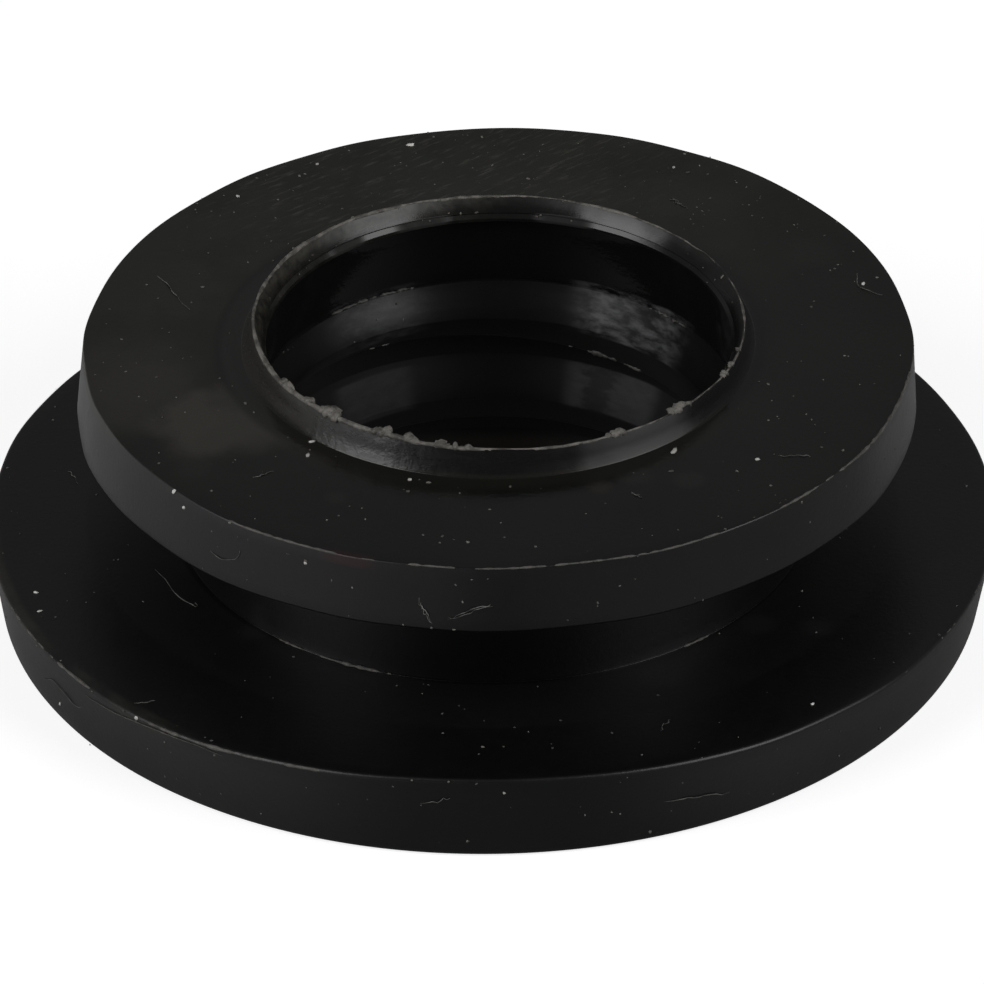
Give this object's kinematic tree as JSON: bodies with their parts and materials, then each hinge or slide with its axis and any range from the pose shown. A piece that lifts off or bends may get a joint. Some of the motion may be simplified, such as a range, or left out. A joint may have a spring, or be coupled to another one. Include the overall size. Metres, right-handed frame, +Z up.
{
  "type": "sealing ring",
  "caption": "Flanged rubber sealing ring with a wide foot flange, a panel groove, a smaller head flange, a thin-edged lip and saw-tooth ribs inside the bore.",
  "frame": {"origin": "centre of the foot face, on the bore axis, where the ring stands on a surface", "axes": "+Z up the bore axis, from the wide foot flange to the thin-edged lip; the ring is round about Z, so X and Y are free"},
  "size_m": [0.03, 0.03, 0.009],
  "materials": {
    "rubber": "satin moulded black rubber with dust and light scuffs"
  },
  "bodies": {
    "root": {"sealing_ring": "rubber"}
  },
  "joints": []
}
